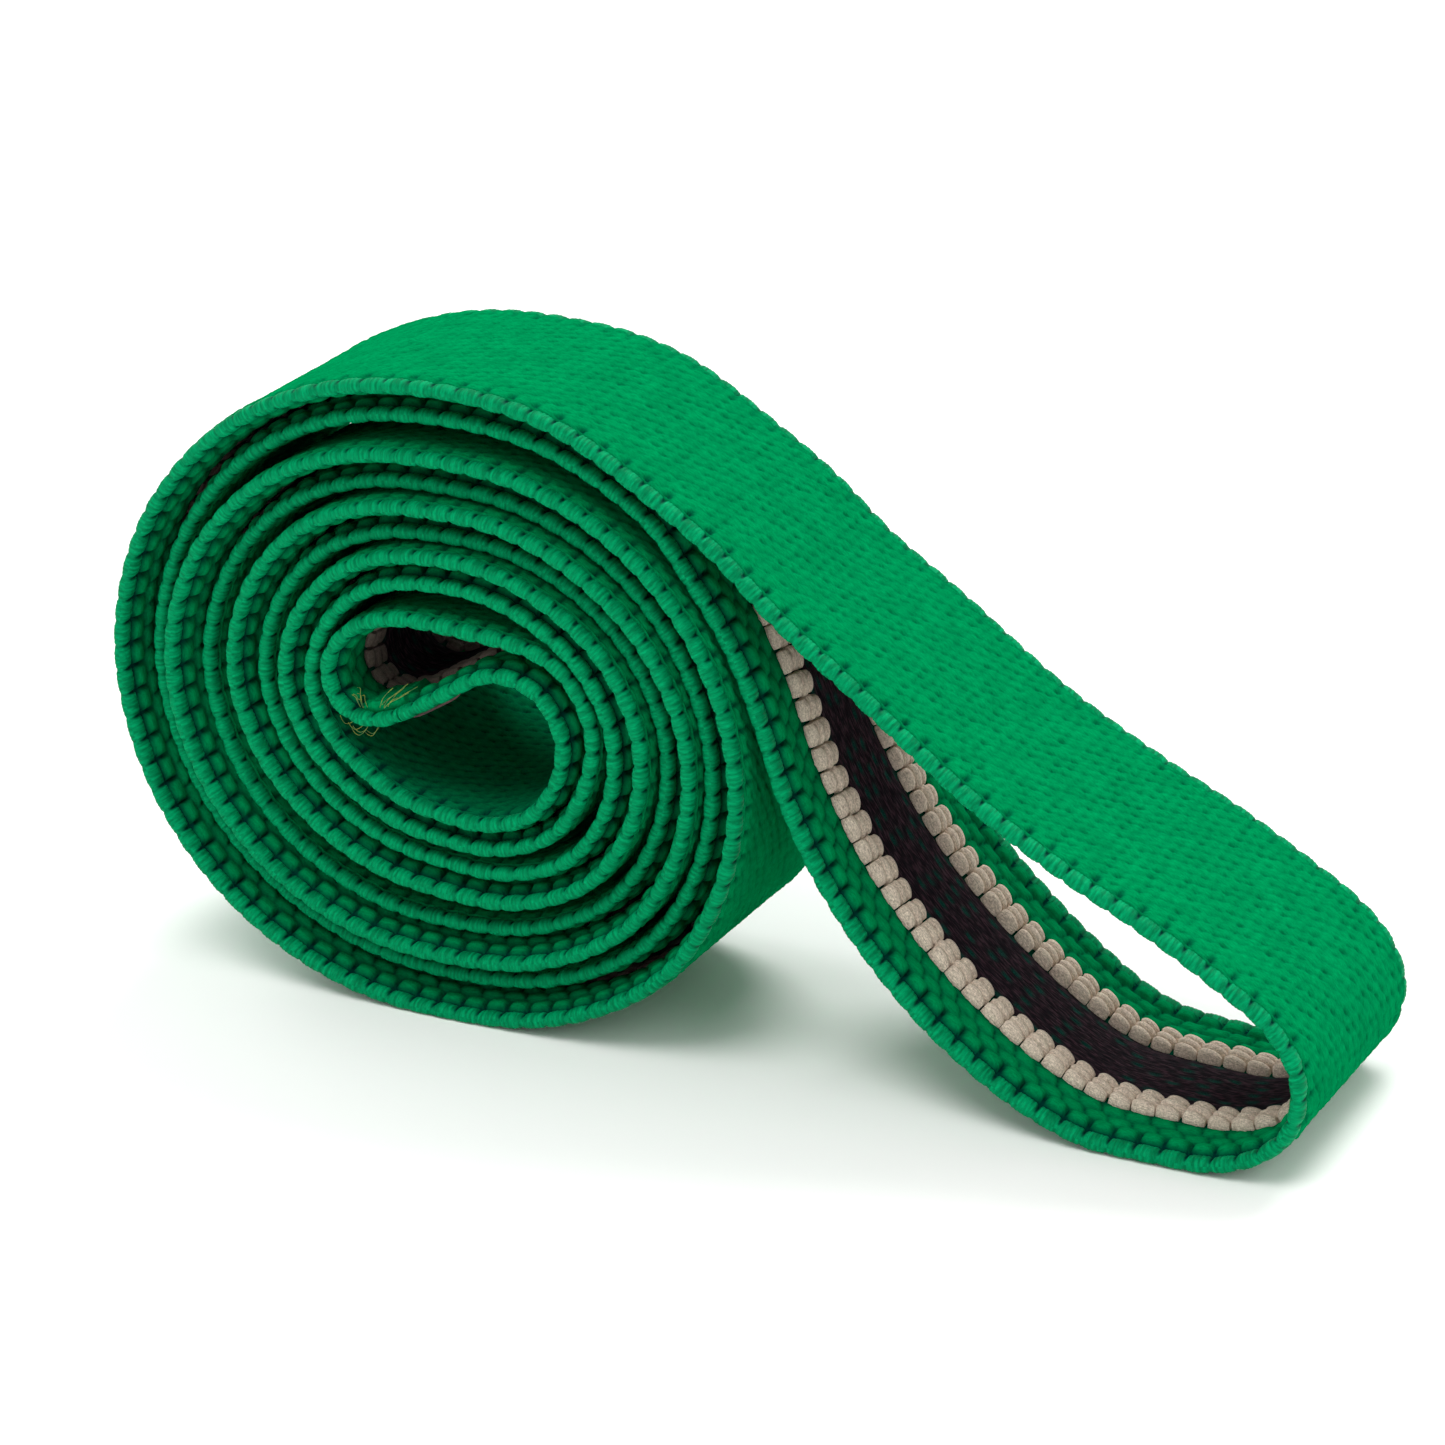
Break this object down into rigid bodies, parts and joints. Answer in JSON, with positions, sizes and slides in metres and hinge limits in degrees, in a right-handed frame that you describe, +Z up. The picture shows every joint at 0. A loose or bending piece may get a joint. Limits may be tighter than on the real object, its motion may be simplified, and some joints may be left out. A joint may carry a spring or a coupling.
{
  "type": "fabric resistance band",
  "caption": "Closed loop of wide woven elastic band, rolled up double with its last stretch lying free as an open loop; for exercise and mobility training.",
  "frame": {"origin": "middle of the whole part's box in X and Y, on the surface it rests on", "axes": "+X from the roll to the free end of the loop, Y across the band, +Z up"},
  "size_m": [0.1878, 0.045, 0.0997],
  "materials": {
    "green_cloth": "woven matt",
    "latex": "matt",
    "dark_stripe": "woven matt",
    "grip_beads": "bulky textured thread",
    "edge_wrap": "wrapped thread, slight sheen",
    "stitch_thread": "thread"
  },
  "bodies": {
    "roll": {"roll_outer_weave": "green_cloth", "roll_latex_threads": "latex", "roll_inner_weave": "green_cloth", "roll_centre_stripe": "dark_stripe", "roll_grip_rib_near": "grip_beads", "roll_grip_rib_far": "grip_beads", "roll_selvedge_near": "edge_wrap", "roll_selvedge_far": "edge_wrap", "join_lap_ply": "green_cloth", "join_stitch_rows": "stitch_thread"},
    "loop": {"lower_run_outer_weave": "green_cloth", "lower_run_latex_threads": "latex", "lower_run_inner_weave": "green_cloth", "lower_run_centre_stripe": "dark_stripe", "lower_run_grip_rib_near": "grip_beads", "lower_run_grip_rib_far": "grip_beads", "lower_run_selvedge_near": "edge_wrap", "lower_run_selvedge_far": "edge_wrap", "upper_run_outer_weave": "green_cloth", "upper_run_latex_threads": "latex", "upper_run_inner_weave": "green_cloth", "upper_run_centre_stripe": "dark_stripe", "upper_run_grip_rib_near": "grip_beads", "upper_run_grip_rib_far": "grip_beads", "upper_run_selvedge_near": "edge_wrap", "upper_run_selvedge_far": "edge_wrap"},
    "loop_end": {"loop_end_outer_weave": "green_cloth", "loop_end_latex_threads": "latex", "loop_end_inner_weave": "green_cloth", "loop_end_centre_stripe": "dark_stripe", "loop_end_grip_rib_near": "grip_beads", "loop_end_grip_rib_far": "grip_beads", "loop_end_selvedge_near": "edge_wrap", "loop_end_selvedge_far": "edge_wrap"}
  },
  "joints": [
    {"name": "loop_lift", "type": "hinge", "parent": "roll", "child": "loop", "pos_m": [-0.0019, 0, 0.0873], "axis": [0, -1, 0], "range_deg": [0, 35]},
    {"name": "loop_stretch", "type": "slide", "parent": "loop", "child": "loop_end", "axis": [1, 0, 0], "range_m": [0, 0.035], "stiffness_N_per_m": 1500}
  ]
}
